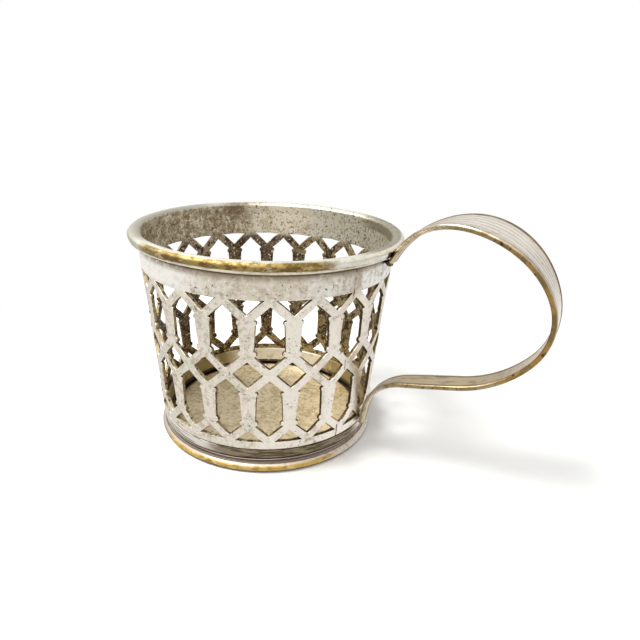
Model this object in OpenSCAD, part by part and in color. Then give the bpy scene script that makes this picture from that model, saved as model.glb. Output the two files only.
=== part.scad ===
// Tea glass holder with an openwork wall, a rolled rim, a flanged foot and a reeded strap handle.
// Origin: centre of the foot's underside, on the cup's axis. +Z up, handle towards +X. Millimetres.

/* [Wall] */
// Outer radius of the wall at its lower edge
wall_low_r = 31.85; // [28:0.05:34]
// Outer radius of the wall at its upper edge
wall_top_r = 35.95; // [34.5:0.05:42]
// Height of the wall strip, from its lower edge to the rim
wall_h = 50; // [44:0.5:60]
// Thickness of the wall sheet
sheet_t = 0.95; // [0.8:0.05:1.3]

/* [Openwork] */
// Number of hexagon columns round the wall
columns = 19; // [15:1:21]
// Height of the plain band over the openwork
top_band_h = 6.6; // [5:0.1:9]
// Height of the plain band under the openwork
low_band_h = 2.4; // [1.6:0.1:4]
// Width of the upright bars between the hexagons
bar_w = 3.5; // [2.5:0.1:4.5]
// Width of the slanted struts
strut_w = 2.2; // [1.6:0.1:2.8]
// Rise of the slanted struts, in degrees
strut_angle = 43.5; // [38:0.5:48]
// Radius of the small round nubs at the ends of each bar
nub_r = 0.7; // [0.4:0.05:0.9]

/* [Rim] */
// Radius of the rolled bead
bead_r = 1.7; // [1.3:0.05:2]
// Radius of the wire core inside the bead
wire_r = 0.85; // [0.6:0.05:1]
// Height of the straight throat between the wall and the bead's centre
throat_h = 2.35; // [2.1:0.05:3]

/* [Foot] */
// Outer radius of the foot ring
foot_r = 32.4; // [31.5:0.05:37]
// Height of the foot ring
foot_h = 2.6; // [2:0.1:4]
// Radial width of the foot ring
foot_w = 6; // [5.4:0.1:9]
// Height of the neck between the foot ring and the wall
neck_h = 4.8; // [4:0.1:7]

/* [Floor] */
// Thickness of the floor plate
floor_t = 0.9; // [0.6:0.05:1.4]
// Width of the open ring between the floor plate and the neck
floor_gap = 0.7; // [0.3:0.05:1.2]

/* [Handle] */
// Rise of the strap where it leaves the wall, in degrees
strap_rise = 61.8; // [58:0.2:66]
// Radius of the bend over the crown
crown_r = 20.3; // [17:0.1:24]
// Radius of the bend at the outer side of the loop
shoulder_r = 23.7; // [20:0.1:28]
// Radius of the bend at the bottom of the loop
heel_r = 17.2; // [14:0.1:21]
// Radius of the slow bend into the lower run
run_r = 29.6; // [24:0.2:36]
// Length of the straight lower run
run_l = 15.2; // [11:0.2:20]
// Radius of the bend where the lower run turns down the wall
ankle_r = 14.4; // [12:0.1:17]
// Thickness of the handle strap
strap_t = 1.1; // [0.9:0.05:1.6]
// Width of the strap at the crown
crown_w = 19; // [12:0.2:22]
// Width of the strap at the outer side of the loop
side_w = 8; // [6:0.1:12]
// Width of the strap along its lower run
lower_run_w = 7.6; // [5:0.1:10]
// Width of the strap at its upper end
upper_end_w = 3.8; // [3.4:0.1:7]
// Width of the strap at its lower end
lower_end_w = 3.4; // [3:0.1:7]
// Thickness of the rounded beads along both edges of the strap
edge_bead_t = 1.35; // [1.2:0.05:2]
// Number of fine ridges along the strap's outer face
ridges = 6; // [3:1:9]

/* [Hidden] */
$fn = 96;
// Finer steps for the cone that pieces are fitted against
cone_fn = 720;

// How far a cutter runs past the face that it cuts
overrun = 1;
// Running clearance between pieces that nest in each other
nest_gap = 0.05;

// Heights of the wall, counted up from the surface that the foot stands on
wall_z0 = foot_h + neck_h;
wall_z1 = wall_z0 + wall_h;
wall_slope = (wall_top_r - wall_low_r) / wall_h;
function wall_r(z) = wall_low_r + (z - wall_z0) * wall_slope;

// Openwork: three rings of crossings, two rows of hexagons between them
rows = 2;
column_step = 360 / columns;
cross_z0 = wall_z0 + low_band_h;
row_h = (wall_h - low_band_h - top_band_h) / rows;
strut_rise = tan(strut_angle);
strut_half_h = strut_w / 2 / cos(strut_angle);
nub_steps = 4;

// Half the distance between two neighbouring columns at one height
function half_pitch(z) = wall_r(z) * PI / columns;

// Rim bead
throat_r = wall_top_r - sheet_t;
bead_c = [throat_r + bead_r, wall_z1 + throat_h];
curl_end_angle = -104;
bead_step_angle = 6;

// Neck between foot and wall: shares of its height and of its inset, from the slit up to the wall
collar_t = 0.9;
collar_up_h = 1.3;
collar_slit_h = 0.7;
collar_r = wall_low_r - sheet_t - nest_gap;
neck_inset = 1.1;
neck_shares = [
    [0, 1], [0.08, 0.62], [0.25, 0.34], [0.5, 0.16], [0.75, 0.08], [0.9, 0.1], [0.91, 0.45], [1, 0.45]
];

// Foot ring
foot_inner_r = foot_r - foot_w;
foot_groove_h = 0.22;
foot_groove = 0.16;
foot_groove_share = 0.3;
foot_round_start_angle = -80;

// Floor plate, and the ledge of the collar round it
ledge_share = 0.7;
collar_in_r = collar_r - collar_t;
collar_ledge_r = collar_in_r - ledge_share * collar_t;
floor_r = collar_ledge_r - floor_gap;
floor_z = foot_h + floor_t;

// Handle: the strap's centre line as a chain of [radius, turn] bends and [length, 0] straights
upper_run_l = 2.7;
lower_leg_l = 4.6;
bends = [
    [upper_run_l, 0], [crown_r, -72], [shoulder_r, -58], [heel_r, -59], [run_r, -39], [run_l, 0],
    [ankle_r, 68], [lower_leg_l, 0]
];
bend_step_angle = 6;
straight_steps = 4;

// The strap's two ends: beside the bead, and on the wall's lower edge
strap_drop = 2.15;
strap_seat = 0.6;
strap_along = [cos(strap_rise), sin(strap_rise)];
strap_aside = [sin(strap_rise), -cos(strap_rise)];
strap_head = bead_c + (bead_r + edge_bead_t / 2 + nest_gap) * strap_aside - strap_drop * strap_along;
strap_foot = [wall_low_r + strap_seat + strap_t / 2, wall_z0];

// Strap width along the centre line: shares of the way, and the width there
width_shares = [0, 0.24, 0.51, 0.76, 1];
width_list = [upper_end_w, crown_w, side_w, lower_run_w, lower_end_w];

// Strap cross-section
ridge_h = 0.14;
edge_bead_w = 0.95;
edge_round_share = 0.3;

// Seam of the wall, a little past one column clockwise of the handle
seam_w = 0.9;
seam_h = 0.1;
seam_share = 1.1;
seam_turn = -seam_share * column_step;

// Point of a circle about c at angle a
function on_circle(c, r, a) = c + r * [cos(a), sin(a)];

// Arc points about c from angle a0 to a1 in n steps
function arc(c, r, a0, a1, n) = [for (i = [0:n]) on_circle(c, r, a0 + (a1 - a0) * i / n)];

// Nub bulging into a hexagon from its side at x, centred at height z
function nub(x, z) = let (s = sign(x))
    [for (p = arc([0, 0], nub_r, -90, 90, nub_steps)) [x - s * p[0], z + s * p[1]]];

// Outline of one hexagon between the crossings at z0 and z1, point up and point down
function hexagon(z0, z1) = let (
        half_w = half_pitch((z0 + z1) / 2) - bar_w / 2,
        low = z0 + strut_half_h,
        high = z1 - strut_half_h,
        low_corner = low + half_w * strut_rise,
        high_corner = high - half_w * strut_rise)
    concat(
        [[0, low], [half_w, low_corner]],
        nub(half_w, low_corner + nub_r),
        nub(half_w, high_corner - nub_r),
        [[half_w, high_corner], [0, high], [-half_w, high_corner]],
        nub(-half_w, high_corner - nub_r),
        nub(-half_w, low_corner + nub_r),
        [[-half_w, low_corner]]);

// Outline of the diamond between four struts, centred on a bar at crossing height z
function diamond(z) = let (
        half_h = half_pitch(z) * strut_rise - strut_half_h,
        half_w = half_h / strut_rise)
    [[0, z - half_h], [half_w, z], [0, z + half_h], [-half_w, z]];

// Outline of the triangle on a plain band at crossing height z, pointing up or down
function triangle(z, up) = let (
        tri_h = half_pitch(z) * strut_rise - strut_half_h,
        half_w = tri_h / strut_rise)
    [[-half_w, z], [half_w, z], [0, z + up * tri_h]];

// Radial cutter through one side of the wall, at a number of columns from the handle
module pierce(column, outline) {
    rotate([0, 0, column * column_step])
        translate([wall_low_r / 2, 0, 0])
            rotate([90, 0, 90])
                linear_extrude(wall_top_r - wall_low_r / 2 + overrun)
                    polygon(outline);
}

// Solid below the wall's outer surface, used to fit pieces against it
module wall_cone() {
    rotate_extrude($fn = cone_fn)
        polygon([[0, 0], [wall_r(0), 0], [wall_r(wall_z1), wall_z1], [0, wall_z1]]);
}

module openwork_wall() {
    color("gainsboro")
        difference() {
            rotate_extrude()
                polygon([
                    [wall_low_r - sheet_t, wall_z0], [wall_low_r, wall_z0],
                    [wall_top_r, wall_z1], [wall_top_r - sheet_t, wall_z1]]);
            for (i = [0:columns - 1]) {
                for (row = [0:rows - 1])
                    pierce(i, hexagon(cross_z0 + row * row_h, cross_z0 + (row + 1) * row_h));
                for (row = [1:rows - 1])
                    pierce(i + 0.5, diamond(cross_z0 + row * row_h));
                pierce(i + 0.5, triangle(cross_z0, 1));
                pierce(i + 0.5, triangle(cross_z0 + rows * row_h, -1));
            }
        }
}

// One length of solder on the wall's outer surface, between two heights
module seam_length(z0, z1) {
    seam_angle = seam_w / wall_low_r * 180 / PI;
    rotate([0, 0, seam_turn - seam_angle / 2])
        rotate_extrude(angle = seam_angle)
            polygon([
                [wall_r(z0), z0], [wall_r(z0) + seam_h, z0],
                [wall_r(z1) + seam_h, z1], [wall_r(z1), z1]]);
}

module wall_seam() {
    color("darkgray") {
        seam_length(wall_z0, cross_z0 + strut_half_h);
        for (row = [1:rows - 1])
            seam_length(cross_z0 + row * row_h - strut_half_h, cross_z0 + row * row_h + strut_half_h);
        seam_length(cross_z0 + rows * row_h - strut_half_h, wall_z1);
    }
}

module rim_roll() {
    hollow_r = wire_r + nest_gap;
    skirt_angle = 180 + acos((bead_c[0] - wall_top_r) / hollow_r);
    turn = 180 - curl_end_angle;
    inner_turn = skirt_angle - curl_end_angle;
    color("gainsboro")
        rotate_extrude()
            polygon(concat(
                [[throat_r, wall_z1]],
                arc(bead_c, bead_r, 180, curl_end_angle, round(turn / bead_step_angle)),
                arc(bead_c, hollow_r, curl_end_angle, skirt_angle, round(inner_turn / bead_step_angle)),
                [[wall_top_r, wall_z1]]));
}

module rim_wire() {
    color("peru")
        rotate_extrude()
            translate(bead_c)
                circle(wire_r);
}

module base_collar() {
    slit_r = collar_in_r - nest_gap;
    neck_z0 = foot_h + collar_slit_h;
    rise = wall_z0 - neck_z0;
    color("silver")
        rotate_extrude()
            polygon(concat(
                [[collar_ledge_r, foot_h], [slit_r, foot_h], [slit_r, neck_z0]],
                [for (s = neck_shares) [wall_low_r - neck_inset * s[1], neck_z0 + rise * s[0]]],
                [[collar_r, wall_z0], [collar_r, wall_z0 + collar_up_h],
                [collar_in_r, wall_z0 + collar_up_h], [collar_in_r, floor_z + collar_t],
                [collar_ledge_r, floor_z + collar_t / 2]]));
}

module foot_ring() {
    roll_r = foot_h / 2;
    roll_c = [foot_r - roll_r, roll_r];
    groove_z = foot_h * foot_groove_share;
    groove_angle = asin((groove_z - roll_r) / roll_r);
    groove_half = asin(foot_groove_h / 2 / roll_r);
    color("darkkhaki")
        rotate_extrude()
            polygon(concat(
                [[foot_inner_r, 0], [roll_c[0], 0]],
                arc(roll_c, roll_r, foot_round_start_angle, groove_angle - groove_half, 5),
                [on_circle(roll_c, roll_r - foot_groove, groove_angle)],
                arc(roll_c, roll_r, groove_angle + groove_half, 90, 10),
                [[foot_inner_r, foot_h]]));
}

module bottom_plate() {
    color("rosybrown")
        translate([0, 0, foot_h])
            cylinder(h = floor_t, r = floor_r);
}

// Points along one stretch of the chain, from point p at heading h, without p itself
function stretch(bend, p, h) = bend[1] == 0
    ? [for (k = [1:straight_steps]) p + bend[0] * k / straight_steps * [cos(h), sin(h)]]
    : let (
        side = sign(bend[1]),
        n = round(abs(bend[1]) / bend_step_angle),
        c = p + side * bend[0] * [-sin(h), cos(h)])
        [for (k = [1:n]) let (a = h + bend[1] * k / n) c + side * bend[0] * [sin(a), -cos(a)]];

// Points of the whole chain from stretch i on
function chain(p, h, i = 0) = i == len(bends) ? []
    : let (points = stretch(bends[i], p, h))
        concat(points, chain(points[len(points) - 1], h + bends[i][1], i + 1));

// The bent strap, turned and sized a little so that it spans exactly from its head to its foot
free_line = concat([[0, 0]], chain([0, 0], strap_rise));
last = len(free_line) - 1;
free_end = free_line[last];
strap_span = strap_foot - strap_head;
fit_scale = norm(strap_span) / norm(free_end);
fit_turn = atan2(strap_span[1], strap_span[0]) - atan2(free_end[1], free_end[0]);
centre_line = [
    for (p = free_line)
        strap_head + fit_scale * [
            p[0] * cos(fit_turn) - p[1] * sin(fit_turn),
            p[0] * sin(fit_turn) + p[1] * cos(fit_turn)]
];

// Share of the way along the centre line at each point
function way_to(i) = i == 0 ? 0 : way_to(i - 1) + norm(centre_line[i] - centre_line[i - 1]);
way = [for (i = [0:last]) way_to(i)];
function way_share(i) = way[i] / way[last];

// Direction of the centre line at point i, and the outward side of the loop there
function heading(i) = let (v = centre_line[min(i + 1, last)] - centre_line[max(i - 1, 0)]) v / norm(v);
function outward(i) = let (h = heading(i)) [-h[1], h[0]];

// Width of the strap at a share of the way, eased between the listed places
function eased(t) = (1 - cos(180 * t)) / 2;
function strap_width(share, i = 0) =
    share <= width_shares[i + 1] || i == len(width_shares) - 2
    ? let (t = (share - width_shares[i]) / (width_shares[i + 1] - width_shares[i]))
        width_list[i] + (width_list[i + 1] - width_list[i]) * eased(t)
    : strap_width(share, i + 1);

// Cross-section of the strap at width w: [across, outward], anticlockwise seen along the heading
function section(w) = let (
        half = w / 2,
        bead = edge_bead_t / 2,
        flat = half - edge_bead_w,
        pitch = 2 * flat / ridges,
        rim_half = edge_bead_w * edge_round_share)
    concat(
        [[-flat, -strap_t / 2], [flat, -strap_t / 2], [half - rim_half, -bead],
        [half, -rim_half], [half, rim_half], [half - rim_half, bead]],
        [
            for (k = [0:ridges - 1])
                each [[flat - k * pitch, strap_t / 2 - ridge_h], [flat - (k + 0.5) * pitch, strap_t / 2]]
        ],
        [[-flat, strap_t / 2 - ridge_h], [rim_half - half, bead], [-half, rim_half],
        [-half, -rim_half], [rim_half - half, -bead]]);

// Points of the strap's cross-section at point i of the centre line
function strap_ring(i) = let (c = centre_line[i], o = outward(i))
    [for (p = section(strap_width(way_share(i)))) [c[0] + p[1] * o[0], p[0], c[1] + p[1] * o[1]]];

module handle_strap() {
    rings = [for (i = [0:last]) strap_ring(i)];
    n = len(rings[0]);
    color("tan")
        polyhedron(
            points = [for (ring = rings) each ring],
            faces = concat(
                [[for (k = [0:n - 1]) k]],
                [
                    for (i = [0:last - 1], k = [0:n - 1])
                        let (a = i * n + k, b = i * n + (k + 1) % n)
                        each [[a, a + n, b + n], [a, b + n, b]]
                ],
                [[for (k = [n - 1:-1:0]) last * n + k]]));
}

// Inner face of the strap at point i of the centre line
function inner_face(i) = centre_line[i] - outward(i) * strap_t / 2;
function outer_face(i) = centre_line[i] + outward(i) * strap_t / 2;

// Solder between the wall and an outline in the handle's plane, trimmed to the wall
module solder(width, outline) {
    color("gray")
        difference() {
            translate([0, width / 2, 0])
                rotate([90, 0, 0])
                    linear_extrude(width)
                        polygon(outline);
            wall_cone();
        }
}

module handle_solder_upper() {
    top = outer_face(0);
    low = inner_face(0);
    fillet_z = low[1] - strap_t;
    solder(upper_end_w - 2 * edge_bead_w, [
        [wall_r(fillet_z) - overrun, fillet_z], [wall_r(fillet_z), fillet_z],
        low, top, [wall_r(top[1]) - overrun, top[1]]]);
}

module handle_solder_lower() {
    pad = [for (i = [last:-1:last - straight_steps]) inner_face(i)];
    solder(lower_end_w - 2 * edge_bead_w, concat(
        pad,
        [[wall_r(pad[straight_steps][1]) - overrun, pad[straight_steps][1]],
        [wall_r(pad[0][1]) - overrun, pad[0][1]]]));
}

openwork_wall();
wall_seam();
rim_roll();
rim_wire();
base_collar();
foot_ring();
bottom_plate();
handle_strap();
handle_solder_upper();
handle_solder_lower();
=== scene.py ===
"""Looks of an old silver-plated tea glass holder: pierced wall, rolled rim, flanged foot and strap handle.

The scene is in metres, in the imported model's frame: its origin is under the foot on the cup's axis, and +X
points to the handle. Shapes are built in millimetres and scaled once, when they become objects.
"""

import math

import bmesh
import bpy
from mathutils import Matrix, Vector, noise


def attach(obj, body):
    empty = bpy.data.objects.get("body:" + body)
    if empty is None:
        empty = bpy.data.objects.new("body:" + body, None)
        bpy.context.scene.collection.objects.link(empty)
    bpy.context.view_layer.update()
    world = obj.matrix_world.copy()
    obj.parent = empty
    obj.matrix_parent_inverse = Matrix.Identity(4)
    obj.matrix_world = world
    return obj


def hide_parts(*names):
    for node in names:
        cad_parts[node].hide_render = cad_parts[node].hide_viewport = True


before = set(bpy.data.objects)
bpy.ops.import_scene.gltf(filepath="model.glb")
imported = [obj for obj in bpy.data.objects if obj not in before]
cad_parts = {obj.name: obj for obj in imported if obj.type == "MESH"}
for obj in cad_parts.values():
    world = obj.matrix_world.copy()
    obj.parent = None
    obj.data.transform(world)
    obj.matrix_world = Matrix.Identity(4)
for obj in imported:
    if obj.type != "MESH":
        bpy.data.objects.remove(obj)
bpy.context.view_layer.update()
MM = 0.001
UP = (0, 0, 1)

# Wall: the same values as the solids, in millimetres
WALL_LOW_R = 31.85
WALL_TOP_R = 35.95
WALL_Z0 = 7.4
WALL_Z1 = 57.4
SHEET_T = 0.95
COLUMNS = 19
ROWS = 2
TOP_BAND_H = 6.6
LOW_BAND_H = 2.4
BAR_W = 3.5
STRUT_W = 2.2
STRUT_RISE = math.tan(math.radians(43.5))
STRUT_HALF_H = STRUT_W / 2 * math.hypot(1, STRUT_RISE)
NUB_R = 0.7
# Where the flat cell is cut so that it can bend, in shares of its half width
CUT_SHARES = (-0.85, -0.44, -0.14, 0, 0.14, 0.44, 0.85)
# How far the piercings narrow inwards
EDGE_DRAFT = 0.18
STEP = 2 * math.pi / COLUMNS
SEAM_TURN = -1.1 * STEP
CROSS_Z0 = WALL_Z0 + LOW_BAND_H
ROW_H = (WALL_Z1 - WALL_Z0 - LOW_BAND_H - TOP_BAND_H) / ROWS

# Rim, collar, foot and floor
BEAD_R = 1.7
WIRE_R = 0.85
NEST_GAP = 0.05
THROAT_R = WALL_TOP_R - SHEET_T
BEAD_R_FROM_AXIS = THROAT_R + BEAD_R
BEAD_Z = WALL_Z1 + 2.35
LIP_R = 0.4
LIP_ANGLE = -56
CURL_END_ANGLE = -104
# Share of its height that the bead's top is pressed down to
BEAD_FLAT = 0.66
FOOT_R = 32.4
FOOT_H = 2.6
FOOT_INNER_R = FOOT_R - 6
# The turned line: its share of the foot's height, and its depth
LINE_SHARE = 0.3
LINE_DEPTH = 0.16
COLLAR_R = WALL_LOW_R - SHEET_T - NEST_GAP
COLLAR_T = 0.9
COLLAR_IN_R = COLLAR_R - COLLAR_T
LEDGE_R = COLLAR_IN_R - 0.7 * COLLAR_T
NECK_INSET = 1.1
NECK_Z0 = FOOT_H + 0.7
UPSTAND_TOP = WALL_Z0 + 1.3
FLOOR_T = 0.9
FLOOR_R = LEDGE_R - 0.7
LEDGE_TOP = FOOT_H + FLOOR_T + COLLAR_T

# Handle strap
STRAP_RISE = 61.8
# A radius, or a length where the turn is 0, and a turn in degrees
BENDS = ((2.7, 0), (20.3, -72), (23.7, -58), (17.2, -59), (29.6, -39), (15.2, 0), (14.4, 68), (4.6, 0))
STRAP_T = 1.1
EDGE_BEAD_T = 1.35
EDGE_BEAD_W = 0.95
STRAP_DROP = 2.15
STRAP_SEAT = 0.6
WIDTH_SHARES = (0, 0.24, 0.51, 0.76, 1)
WIDTHS = (3.8, 19, 8, 7.6, 3.4)
RIDGES = 6
RIDGE_H = 0.12

# Board, room and lamps
ROOM_LIGHT = 0.46
# The board's shadow fades to plain white between these two distances
BOARD_NEAR = 90
BOARD_FAR = 150
# Name, azimuth, rise, distance, size and power of each lamp, aimed at the origin
LAMPS = (("key_left", 216, 59, 0.75, 0.48, 8.1), ("fill_front", -67, 42, 0.85, 0.6, 2.2))


# Small helpers

def linear(code):
    """An sRGB hex colour as linear red, green, blue and alpha."""
    def channel(text):
        value = int(text, 16) / 255
        return value / 12.92 if value <= 0.04045 else ((value + 0.055) / 1.055) ** 2.4
    return (*(channel(code[i:i + 2]) for i in (1, 3, 5)), 1)


def add(tree, kind, sockets=None, **settings):
    """Adds a node with its settings, its typed values and its links."""
    made = tree.nodes.new(kind)
    for name, value in settings.items():
        setattr(made, name, value)
    for name, value in (sockets or {}).items():
        if isinstance(value, bpy.types.NodeSocket):
            tree.links.new(value, made.inputs[name])
        else:
            made.inputs[name].default_value = value
    return made


def arc(centre, radius, start, end, steps):
    """Points of an arc in the plane of radius and height, angles in degrees."""
    turns = [math.radians(start + (end - start) * i / steps) for i in range(steps + 1)]
    return [(centre[0] + radius * math.cos(t), centre[1] + radius * math.sin(t)) for t in turns]


def wobble(point, size, seed):
    """Smooth noise from -1 to 1 at a point in millimetres, with bumps of about that size."""
    return noise.noise(Vector(point) / size + Vector((seed, 0, 0)))


def outwards(point):
    """The level unit vector from the cup's axis to a point."""
    return Vector((point.x, point.y, 0)).normalized()


def eased(value, low, high):
    """0 up to low, 1 from high on, smooth between them."""
    t = min(1, max(0, (value - low) / (high - low)))
    return t * t * (3 - 2 * t)


def soften(bm, angle, width, segments):
    """Rounds every edge that is sharper than an angle in degrees, by a width in millimetres.

    The edges where rim and wall meet stay sharp, so that the joint between them doesn't show.
    """
    sharp = [e for e in bm.edges if len(e.link_faces) == 2 and e.calc_face_angle(0) > math.radians(angle)]
    meeting = [e for e in sharp if all(abs(v.co.z - WALL_Z1) < 0.01 for v in e.verts)]
    for edge in meeting:
        edge.smooth = False
    sharp = [e for e in sharp if e.smooth]
    bmesh.ops.bevel(
        bm, geom=sharp, offset=width, segments=segments, profile=0.5, affect="EDGES",
        material=-1, clamp_overlap=False)


def piece(name, bm, materials, node):
    """Turns a bmesh in millimetres into an object that rides on the body and stands for a CAD node."""
    bmesh.ops.scale(bm, vec=(MM, MM, MM), verts=bm.verts)
    for face in bm.faces:
        face.smooth = True
    mesh = bpy.data.meshes.new(name)
    bm.to_mesh(mesh)
    bm.free()
    for material in materials:
        mesh.materials.append(material)
    made = bpy.data.objects.new(name, mesh)
    bpy.context.scene.collection.objects.link(made)
    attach(made, "root")
    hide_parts(node)
    return made


def weigh_normals(obj):
    """Keeps broad faces flat beside their narrow rounded edges."""
    modifier = obj.modifiers.new("weighted normals", "WEIGHTED_NORMAL")
    modifier.weight = 80
    modifier.keep_sharp = True


# Shapes

def wall_radius(z):
    """Outer radius of the wall at a height."""
    return WALL_LOW_R + (WALL_TOP_R - WALL_LOW_R) * (z - WALL_Z0) / (WALL_Z1 - WALL_Z0)


def on_wall(turn, z):
    """The point of the wall's outer face at a turn round the axis, in radians, and a height."""
    return Vector((wall_radius(z) * math.cos(turn), wall_radius(z) * math.sin(turn), z))


def wall_sway(point):
    """How far the wall, bent and pierced by hand, strays outwards at a point. Its two ends are held true."""
    held = min(1, max(0, (point.z - WALL_Z0 - 2) / 4), max(0, (WALL_Z1 - 1 - point.z) / 4))
    return 0.14 * held * wobble(point, 14, 3)


def half_pitch(z):
    """Half the distance between two columns at a height."""
    return wall_radius(z) * math.pi / COLUMNS


def unrolled(y, z):
    """A point beside a column's plane, laid out on the flattened wall."""
    return (math.asin(y / wall_radius(z)) * WALL_LOW_R, z)


def hexagon(z0, z1):
    """Outline of one hexagon between two crossings, with a small nub at each end of its upright sides."""
    half_w = half_pitch((z0 + z1) / 2) - BAR_W / 2
    low, high = z0 + STRUT_HALF_H, z1 - STRUT_HALF_H
    low_corner, high_corner = low + half_w * STRUT_RISE, high - half_w * STRUT_RISE
    side = [(half_w, low_corner)]
    for centre in (low_corner + NUB_R, high_corner - NUB_R):
        side += arc((half_w, centre), NUB_R, 270, 90, 6)[1:]
    side.append((half_w, high_corner))
    points = [(0, low)] + side + [(0, high)] + [(-x, z) for x, z in reversed(side)]
    return [unrolled(x, z) for x, z in points]


def cell_side():
    """The side of one column's cell, from the bottom up, notched by half a triangle, diamond and triangle."""
    edge = STEP / 2 * WALL_LOW_R
    points = [(edge, WALL_Z0)]
    for row in range(ROWS + 1):
        z = CROSS_Z0 + row * ROW_H
        half_h = half_pitch(z) * STRUT_RISE - STRUT_HALF_H
        reach = edge - half_h / STRUT_RISE * WALL_LOW_R / wall_radius(z)
        low = z if row == 0 else z - half_h
        high = z if row == ROWS else z + half_h
        points += [(edge, low), (reach, z), (edge, high)]
    return points + [(edge, WALL_Z1)]


def flat_cell():
    """One column's cell of the pierced sheet, laid flat in the XY plane.

    It is cut from top to bottom where it will bend, and the cuts keep clear of the piercings' corners.
    """
    bm = bmesh.new()
    side = cell_side()
    loops = [side + [(-x, z) for x, z in reversed(side)]]
    loops += [hexagon(CROSS_Z0 + row * ROW_H, CROSS_Z0 + (row + 1) * ROW_H) for row in range(ROWS)]
    for loop in loops:
        verts = [bm.verts.new((x, z, 0)) for x, z in loop]
        for a, b in zip(verts, verts[1:] + verts[:1]):
            bm.edges.new((a, b))
    bmesh.ops.triangle_fill(bm, use_beauty=True, edges=bm.edges[:])
    for share in CUT_SHARES:
        place = (share * STEP / 2 * WALL_LOW_R, 0, 0)
        cut = bmesh.ops.bisect_plane(
            bm, geom=bm.verts[:] + bm.edges[:] + bm.faces[:], dist=0.02, plane_co=place, plane_no=(1, 0, 0))
        for item in cut["geom_cut"]:
            if isinstance(item, bmesh.types.BMEdge):
                item.seam = True
    bmesh.ops.dissolve_limit(
        bm, angle_limit=math.radians(1), verts=bm.verts[:], edges=bm.edges[:], delimit={"SEAM"})
    bmesh.ops.remove_doubles(bm, verts=bm.verts[:], dist=0.02)
    return bm


def openwork_wall(materials):
    """The pierced sheet: one cell, repeated round the cone, given its thickness and softened edges.

    The piercings narrow a little inwards, as cut ones do, so that their edges show from the front. By how far a
    face leans outwards it is outside, inside, sawn edge or softened edge, in the order of the materials.
    """
    bm = flat_cell()
    for v in bm.verts:
        v.co = on_wall(v.co.x / WALL_LOW_R, v.co.y)
    bmesh.ops.spin(
        bm, geom=bm.verts[:] + bm.edges[:] + bm.faces[:], cent=(0, 0, 0), axis=UP,
        angle=2 * math.pi - STEP, steps=COLUMNS - 1, use_duplicate=True)
    bmesh.ops.remove_doubles(bm, verts=bm.verts[:], dist=0.02)
    for v in bm.verts:
        out = outwards(v.co)
        around = Vector((-out.y, out.x, 0))
        held = eased(v.co.z, WALL_Z0 + 2, WALL_Z0 + 6) * (1 - eased(v.co.z, WALL_Z1 - 5, WALL_Z1 - 1))
        sideways = 0.1 * wobble(v.co, 5, 8) * around + Vector((0, 0, 0.08 * wobble(v.co, 5, 21)))
        v.co += wall_sway(v.co) * out + held * sideways
    bmesh.ops.recalc_face_normals(bm, faces=bm.faces[:])
    bmesh.ops.remove_doubles(bm, verts=bm.verts[:], dist=0.001)
    shell = bmesh.ops.extrude_face_region(bm, geom=bm.faces[:], use_keep_orig=True)
    inner = [item for item in shell["geom"] if isinstance(item, bmesh.types.BMVert)]
    for v in inner:
        v.co -= outwards(v.co) * SHEET_T
    bmesh.ops.recalc_face_normals(bm, faces=bm.faces[:])
    bm.normal_update()
    for v in inner:
        out = outwards(v.co)
        cuts = [f.normal for f in v.link_faces if abs(f.normal.dot(out)) < 0.5]
        if len(cuts) == 2 and cuts[0].dot(cuts[1]) > -0.3 and WALL_Z0 + 1 < v.co.z < WALL_Z1 - 1:
            v.co += EDGE_DRAFT * (cuts[0] + cuts[1]) / (1 + cuts[0].dot(cuts[1]))
    soften(bm, 50, 0.16, 2)
    for face in bm.faces:
        lean = face.normal.dot(outwards(face.calc_center_median()))
        face.material_index = 0 if lean > 0.93 else 1 if lean < -0.6 else 2 if lean < 0.4 else 3
    made = piece("pierced_wall", bm, materials, "openwork_wall")
    weigh_normals(made)
    return made


def lathe(profile, steps=256, closed=True):
    """A closed outline of radius and height, turned once round the axis."""
    bm = bmesh.new()
    verts = [bm.verts.new((r, 0, z)) for r, z in profile]
    ends = verts[1:] + verts[:1] if closed else verts[1:]
    edges = [bm.edges.new(pair) for pair in zip(verts, ends)]
    bmesh.ops.spin(
        bm, geom=verts + edges, cent=(0, 0, 0), axis=UP, angle=2 * math.pi, steps=steps, use_merge=True)
    bmesh.ops.remove_doubles(bm, verts=bm.verts[:], dist=0.001)
    bmesh.ops.recalc_face_normals(bm, faces=bm.faces[:])
    return bm


def rim_roll(material):
    """Sheet rolled outwards over a wire, pressed flatter on top, with a thin lip proud of the bead low down."""
    centre = (BEAD_R_FROM_AXIS, BEAD_Z)
    hollow = WIRE_R + NEST_GAP
    skirt = 180 + math.degrees(math.acos((centre[0] - WALL_TOP_R) / hollow))
    lip_hub = arc(centre, BEAD_R - LIP_R / 3, LIP_ANGLE, LIP_ANGLE, 1)[0]
    outer = [(r, min(z, BEAD_Z + BEAD_FLAT * (z - BEAD_Z)))
             for r, z in arc(centre, BEAD_R, 180, LIP_ANGLE + 15, 44)]
    bm = lathe(
        [(THROAT_R, WALL_Z1)] + outer
        + arc(lip_hub, LIP_R, LIP_ANGLE + 74, LIP_ANGLE - 74, 10)
        + arc(centre, BEAD_R, LIP_ANGLE - 15, CURL_END_ANGLE, 8)
        + arc(centre, hollow, CURL_END_ANGLE, skirt, 40) + [(WALL_TOP_R, WALL_Z1)])
    soften(bm, 50, 0.12, 3)
    for v in bm.verts:
        held = min(1, max(0, (v.co.z - WALL_Z1 - 0.5) / 2))
        sag = Vector((0, 0, -0.06 * abs(wobble(v.co, 11, 2))))
        v.co += held * (0.1 * wobble(v.co, 16, 5) * outwards(v.co) + sag)
    return piece("rolled_rim", bm, [material], "rim_roll")


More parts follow.
